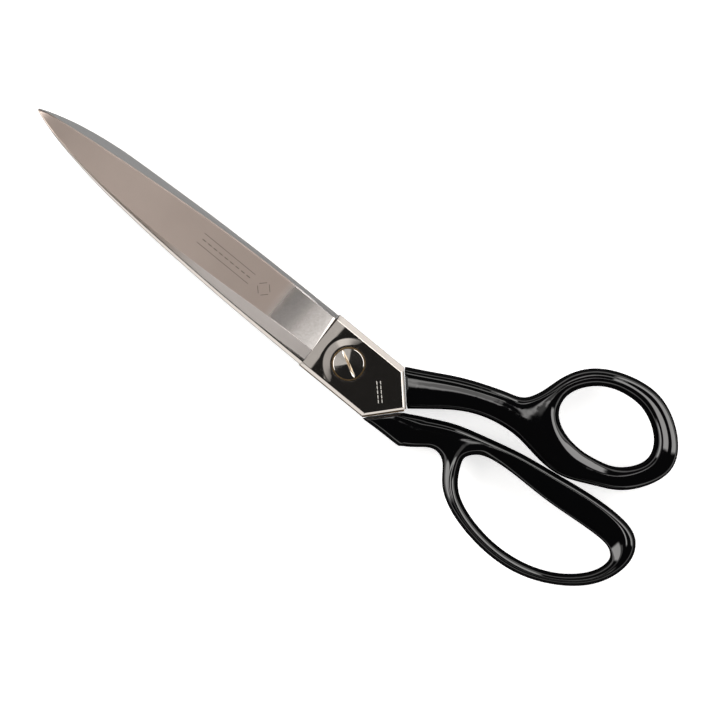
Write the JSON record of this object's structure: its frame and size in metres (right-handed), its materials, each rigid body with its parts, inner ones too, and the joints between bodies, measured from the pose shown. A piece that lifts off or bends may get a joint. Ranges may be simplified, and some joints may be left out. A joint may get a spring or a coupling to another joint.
{
  "type": "fabric shears",
  "caption": "Bent-handle tailor's shears: two forged steel halves that open on a slotted pivot screw, with gloss enamel bow handles.",
  "frame": {"origin": "on the pivot axis, at the free end face of the pivot screw, which is the lowest point of the shears lying on their back", "axes": "+X from the pivot towards the handles (the tips point along -X), +Y towards the thumb bow's side, +Z along the pivot axis towards the slotted screw head"},
  "size_m": [0.3048, 0.0949, 0.0172],
  "materials": {
    "blade_steel": "nickel-plated forged steel, satin brushed blade face and mirror-polished pivot plate",
    "handle_enamel": "thick dipped gloss enamel",
    "screw_nickel": "polished nickel",
    "washer_brass": "satin",
    "spring_steel": "satin",
    "nut_nickel": "polished nickel"
  },
  "bodies": {
    "finger_half": {"finger_blade": "blade_steel", "finger_handle_enamel": "handle_enamel", "tension_washer": "spring_steel"},
    "thumb_half": {"thumb_blade": "blade_steel", "thumb_handle_enamel": "handle_enamel", "head_washer": "washer_brass"},
    "screw_body": {"pivot_screw": "screw_nickel"},
    "nut_body": {"pivot_nut": "nut_nickel"}
  },
  "joints": [
    {"name": "blades_pivot", "type": "hinge", "parent": "finger_half", "child": "thumb_half", "pos_m": [0, 0, 0.0097], "axis": [0, 0, 1], "range_deg": [0, 65]},
    {"name": "screw_adjust", "type": "hinge", "parent": "finger_half", "child": "screw_body", "pos_m": [0, 0, 0.008], "axis": [0, 0, 1], "range_deg": [-45, 45]},
    {"name": "nut_adjust", "type": "hinge", "parent": "finger_half", "child": "nut_body", "pos_m": [0, 0, 0.002], "axis": [0, 0, 1], "range_deg": [-90, 90]}
  ]
}
